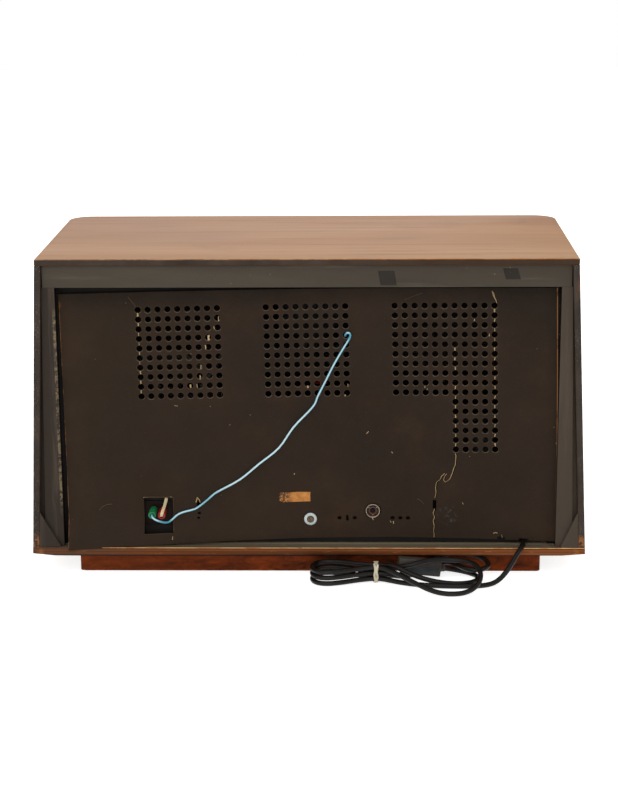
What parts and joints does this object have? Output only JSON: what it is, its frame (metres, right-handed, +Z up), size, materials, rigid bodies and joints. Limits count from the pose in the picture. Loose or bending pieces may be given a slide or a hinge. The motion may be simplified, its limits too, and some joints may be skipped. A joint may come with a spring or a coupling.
{
  "type": "table radio",
  "caption": "Wooden valve table radio with a perforated back panel, plinth, piano keys, ringed knobs, a string-driven dial and a tied mains cord.",
  "frame": {"origin": "on the table, under the middle of the set with its knobs (cords left out)", "axes": "+Z up, the dial faces -Y, the perforated back faces +Y, +X to the right of someone in front of the dial"},
  "size_m": [0.571, 0.3574, 0.333],
  "materials": {
    "walnut_top": "pale worn walnut, grain along the width",
    "shell_wood": "dark worn walnut",
    "mahogany": "red-brown stain, mottled",
    "batten_wood": "aged grey-brown",
    "hardboard": "dark brown perforated hardboard",
    "baffle_board": "plain board",
    "grille_cloth": "woven",
    "brass_trim": "polished bead",
    "dial_glass": "clear",
    "scale_card": "plain numbers only in the visual model",
    "plain_steel": "plated sheet",
    "lamp_glass": "small lamps",
    "pointer_red": "painted",
    "string": "cord string",
    "eye_glass": "green display valve",
    "brown_knob": "moulded",
    "cream_plastic": "moulded",
    "shaft_steel": "turned",
    "shaft_brass": "turned",
    "zinc_cast": "cast zinc",
    "chassis_steel": "dull plated sheet",
    "valve_glass": "clear with dark tops",
    "can_aluminium": "plain",
    "core_steel": "varnished laminations",
    "drum_plastic": "moulded",
    "speaker_steel": "pressed steel",
    "cone_paper": "pulp",
    "brown_laminate": "laminate with rivets",
    "nickel_ring": "nickel ring, brown insert in the visual model",
    "zinc_steel": "zinc-plated washer, brown screw head",
    "green_plastic": "moulded sleeve",
    "red_plastic": "moulded sleeve",
    "blue_wire": "light blue insulation",
    "cream_lead": "flat lead and foil",
    "black_cord": "round rubber cord",
    "plug_rubber": "moulded plug with metal pins",
    "pale_tie": "flat plastic tie"
  },
  "bodies": {
    "cabinet": {"top_board": "walnut_top", "bottom_board": "shell_wood", "left_side_wall": "shell_wood", "right_side_wall": "shell_wood", "plinth": "mahogany", "rear_top_batten": "batten_wood", "rear_side_battens": "batten_wood", "rear_gussets": "batten_wood", "back_panel": "hardboard", "panel_screw": "zinc_steel", "front_baffle": "baffle_board", "grille_cloth": "grille_cloth", "front_trim": "brass_trim", "control_panel": "shell_wood", "dial_glass": "dial_glass", "dial_scale": "scale_card", "dial_bracket": "plain_steel", "dial_lamps": "lamp_glass", "dial_string": "string", "magic_eye": "eye_glass", "control_pots": "plain_steel", "key_frame": "plain_steel", "chassis": "chassis_steel", "valves": "valve_glass", "if_cans": "can_aluminium", "mains_transformer": "core_steel", "output_transformer": "core_steel", "filter_capacitor": "can_aluminium", "tuning_capacitor": "can_aluminium", "speaker_frame": "speaker_steel", "speaker_cone": "cone_paper", "aerial_sockets": "brown_laminate", "pin_sockets": "brown_laminate", "round_socket": "nickel_ring", "green_plug": "green_plastic", "red_plug": "red_plastic", "aerial_wire": "blue_wire", "dipole_aerial": "cream_lead", "mains_cord": "black_cord", "cord_hank": "black_cord", "mains_plug": "plug_rubber", "cord_tie": "pale_tie"},
    "tuning": {"tuning_knob": "brown_knob", "tuning_shaft": "shaft_steel", "tuning_flywheel": "zinc_cast"},
    "rotor": {"capacitor_rotor": "can_aluminium", "dial_drum": "drum_plastic"},
    "pointer": {"dial_pointer": "pointer_red"},
    "volume": {"volume_knob": "brown_knob", "volume_shaft": "shaft_steel"},
    "bass": {"bass_ring": "cream_plastic", "bass_shaft": "shaft_brass"},
    "treble": {"treble_ring": "cream_plastic", "treble_shaft": "shaft_brass"},
    "phono": {"phono_key": "cream_plastic"},
    "long_wave": {"long_wave_key": "cream_plastic"},
    "medium_wave": {"medium_wave_key": "cream_plastic"},
    "short_wave": {"short_wave_key": "cream_plastic"},
    "fm": {"fm_key": "cream_plastic"}
  },
  "joints": [
    {"name": "tuning_spin", "type": "hinge", "parent": "cabinet", "child": "tuning", "pos_m": [0.205, -0.125, 0.06], "axis": [0, 1, 0], "range_deg": [-1108, 1108]},
    {"name": "rotor_swing", "type": "hinge", "parent": "cabinet", "child": "rotor", "pos_m": [0.165, -0.058, 0.127], "axis": [0, 1, 0], "range_deg": [-90, 90]},
    {"name": "pointer_slide", "type": "slide", "parent": "cabinet", "child": "pointer", "axis": [1, 0, 0], "range_m": [-0.0958, 0.0958]},
    {"name": "volume_turn", "type": "hinge", "parent": "cabinet", "child": "volume", "pos_m": [-0.205, -0.125, 0.06], "axis": [0, 1, 0], "range_deg": [-135, 135]},
    {"name": "bass_turn", "type": "hinge", "parent": "cabinet", "child": "bass", "pos_m": [-0.205, -0.125, 0.06], "axis": [0, 1, 0], "range_deg": [-135, 135]},
    {"name": "treble_turn", "type": "hinge", "parent": "cabinet", "child": "treble", "pos_m": [0.205, -0.125, 0.06], "axis": [0, 1, 0], "range_deg": [-135, 135]},
    {"name": "phono_press", "type": "hinge", "parent": "cabinet", "child": "phono", "pos_m": [-0.058, -0.08, 0.057], "axis": [1, 0, 0], "range_deg": [0, 8], "stiffness_Nm_per_rad": 0.5, "springref_deg": -17.19},
    {"name": "long_wave_press", "type": "hinge", "parent": "cabinet", "child": "long_wave", "pos_m": [-0.029, -0.08, 0.057], "axis": [1, 0, 0], "range_deg": [0, 8], "stiffness_Nm_per_rad": 0.5, "springref_deg": -17.19},
    {"name": "medium_wave_press", "type": "hinge", "parent": "cabinet", "child": "medium_wave", "pos_m": [0, -0.08, 0.057], "axis": [1, 0, 0], "range_deg": [0, 8], "stiffness_Nm_per_rad": 0.5, "springref_deg": -17.19},
    {"name": "short_wave_press", "type": "hinge", "parent": "cabinet", "child": "short_wave", "pos_m": [0.029, -0.08, 0.057], "axis": [1, 0, 0], "range_deg": [0, 8], "stiffness_Nm_per_rad": 0.5, "springref_deg": -17.19},
    {"name": "fm_press", "type": "hinge", "parent": "cabinet", "child": "fm", "pos_m": [0.058, -0.08, 0.057], "axis": [1, 0, 0], "range_deg": [0, 8], "stiffness_Nm_per_rad": 0.5, "springref_deg": -17.19}
  ],
  "couplings": [
    {"joint": "rotor_swing", "follows": "tuning_spin", "ratio": -0.081214},
    {"joint": "pointer_slide", "follows": "tuning_spin", "m_per_rad": 0.00495}
  ]
}
